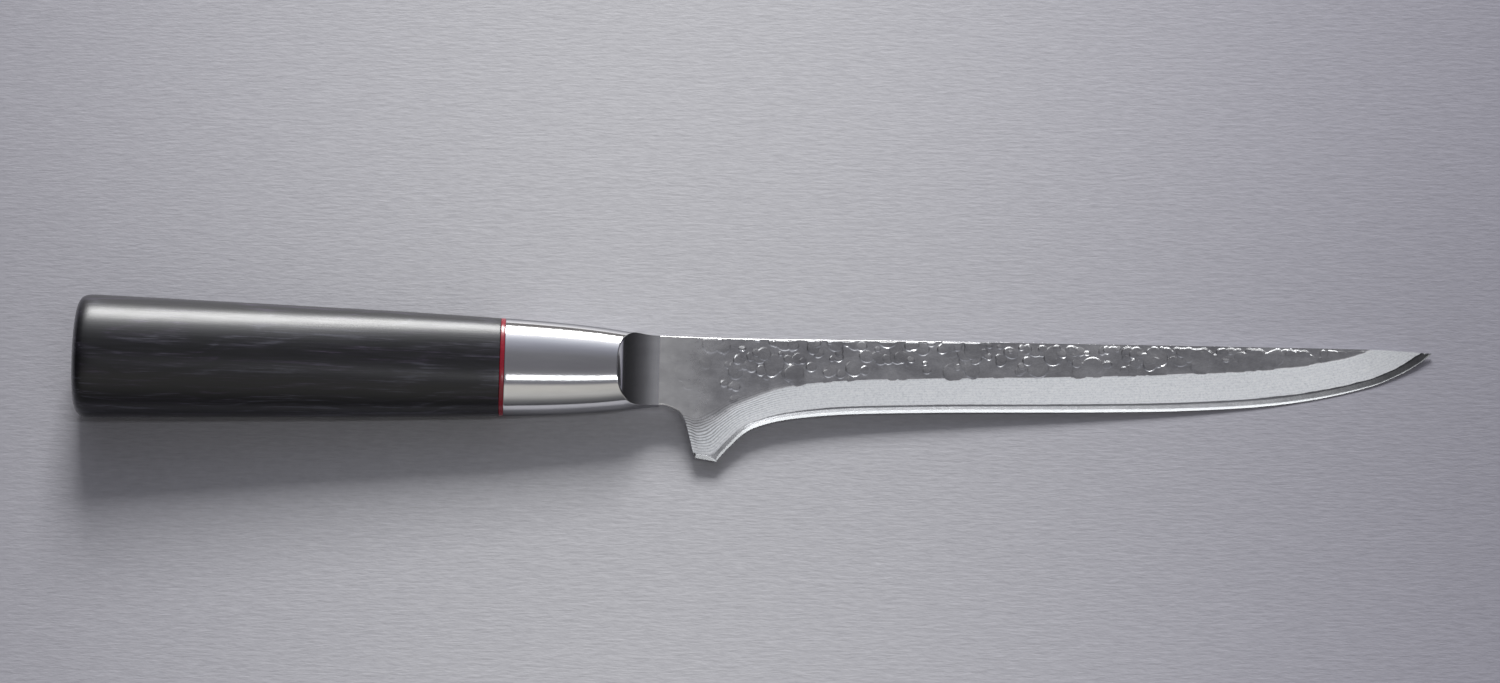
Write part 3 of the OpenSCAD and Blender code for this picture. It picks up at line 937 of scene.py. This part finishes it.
# ------------------------------------------------------------------ light
world = bpy.data.worlds.new("studio")
scene.world = world
world.use_nodes = True
wt = world.node_tree
wt.nodes.clear()
w_out = wt.nodes.new("ShaderNodeOutputWorld")
w_bg = wt.nodes.new("ShaderNodeBackground")
w_tc = wt.nodes.new("ShaderNodeTexCoord")
w_sep = wt.nodes.new("ShaderNodeSeparateXYZ")
w_map = wt.nodes.new("ShaderNodeMath")
w_map.operation = "MULTIPLY_ADD"
w_map.inputs[1].default_value = 0.5
w_map.inputs[2].default_value = 0.5
w_ramp = wt.nodes.new("ShaderNodeValToRGB")
wt.links.new(w_tc.outputs["Generated"], w_sep.inputs[0])
wt.links.new(w_sep.outputs[1], w_map.inputs[0])
wt.links.new(w_map.outputs[0], w_ramp.inputs[0])
w_abs = wt.nodes.new("ShaderNodeMath")
w_abs.operation = "ABSOLUTE"
wt.links.new(w_sep.outputs[0], w_abs.inputs[0])
w_side = wt.nodes.new("ShaderNodeValToRGB")
wt.links.new(w_abs.outputs[0], w_side.inputs[0])
w_mul = wt.nodes.new("ShaderNodeMix")
w_mul.data_type, w_mul.blend_type = "RGBA", "MULTIPLY"
w_mul.inputs[0].default_value = 1.0
wt.links.new(w_ramp.outputs[0], w_mul.inputs[6])
wt.links.new(w_side.outputs[0], w_mul.inputs[7])
wt.links.new(w_mul.outputs[2], w_bg.inputs[0])
FADE = [(0, 1.0), (0.2, 0.78), (0.35, 0.62), (0.5, 0.47), (0.7, 0.32), (0.86, 0.18), (1.0, 0.11)]
e = w_side.color_ramp.elements
while len(e) < len(FADE):
    e.new(0.5)
for i, (p, c) in enumerate(FADE):
    e[i].position = p
    e[i].color = (c, c, c, 1)
wt.links.new(w_bg.outputs[0], w_out.inputs[0])
# how bright the room is in each direction: angle from straight up, towards +Y
SKY = [(-88, (0.05, 0.05, 0.055)), (-70, (0.13, 0.13, 0.135)), (-61, (0.20, 0.20, 0.20)), (-53, (0.36, 0.355, 0.345)),
       (-45, (0.49, 0.485, 0.465)), (-29, (0.555, 0.54, 0.505)), (-21, (0.54, 0.52, 0.49)), (-16.5, (0.15, 0.15, 0.17)),
       (-12, (0.15, 0.15, 0.17)), (-4, (0.18, 0.178, 0.19)), (9, (0.155, 0.153, 0.168)), (21, (0.175, 0.175, 0.19)),
       (31, (0.27, 0.275, 0.315)),
       (38, (0.38, 0.39, 0.44)), (45, (0.58, 0.60, 0.67)), (52, (0.88, 0.89, 0.94)), (60, (1.0, 1.0, 1.0)),
       (78, (0.24, 0.23, 0.22)),
       (88, (0.14, 0.13, 0.13))]
e = w_ramp.color_ramp.elements
while len(e) < len(SKY):
    e.new(0.5)
for i, (deg, c) in enumerate(SKY):
    e[i].position = 0.5 + 0.5 * math.sin(math.radians(deg))
    e[i].color = (*c, 1)
w_bg.inputs[1].default_value = 1.0

AIM = Vector((0.0, 0.0, 0.0))


def panel(name, deg, dist, along, across, radiance, color=(1, 1, 1), x=0.0):
    """A soft light, deg from straight up towards +Y, its long side along X."""
    li = bpy.data.lights.new(name, "AREA")
    li.shape = "RECTANGLE"
    li.size, li.size_y = along, across
    li.energy = radiance * math.pi * along * across
    li.color = color
    ob = bpy.data.objects.new(name, li)
    scene.collection.objects.link(ob)
    a = math.radians(deg)
    ob.rotation_euler = (-a, 0, 0)
    ob.location = AIM + Vector((x, dist * math.sin(a), dist * math.cos(a)))
    return ob


panel("key", 68.5, 2.2, 0.82, 0.80, 22.0, (1.0, 0.995, 0.975), x=-0.07)
panel("strip", -6.2, 1.35, 0.645, 0.115, 6.4, (0.98, 0.99, 1.0), x=0.2925)

# ------------------------------------------------------------------ camera
TILT, PITCH, YAW = math.radians(15), math.radians(1.8), math.radians(-1.18)
DIST, SCALE = 1200.0, 4.4745
FOCAL = SCALE * DIST           # in pixels of a 1500 pixel wide picture


def rz(a):
    c, s = math.cos(a), math.sin(a)
    return np.array([[c, -s, 0], [s, c, 0], [0, 0, 1]])


def ry(a):
    c, s = math.cos(a), math.sin(a)
    return np.array([[c, 0, s], [0, 1, 0], [-s, 0, c]])


R = rz(YAW) @ ry(PITCH)
right_v = np.array([1.0, 0, 0])
up_v = np.array([0, math.cos(TILT), math.sin(TILT)])
back_v = np.array([0, -math.sin(TILT), math.cos(TILT)])
xc, yc = (617 - 750) / FOCAL * DIST, -(370.4 - 341.5) / FOCAL * DIST
C = -(xc * right_v + yc * up_v - DIST * back_v)
cam_pos = row(R.T @ C + np.array([121.4, 0, 0]))
axes = [R.T @ v for v in (right_v, up_v, back_v)]
cam_data = bpy.data.cameras.new("camera")
cam = bpy.data.objects.new("camera", cam_data)
scene.collection.objects.link(cam)
M = Matrix.Identity(4)
for c in range(3):
    for r_ in range(3):
        M[r_][c] = axes[c][r_]
    M[c][3] = cam_pos[c]
cam.matrix_world = M
cam_data.sensor_fit = "HORIZONTAL"
cam_data.sensor_width = 36
cam_data.lens = FOCAL * 36 / 1500
cam_data.clip_start, cam_data.clip_end = 0.01, 20
scene.camera = cam

scene.view_settings.view_transform = "Standard"
scene.view_settings.look = "None"
scene.view_settings.exposure = 0
scene.view_settings.gamma = 1
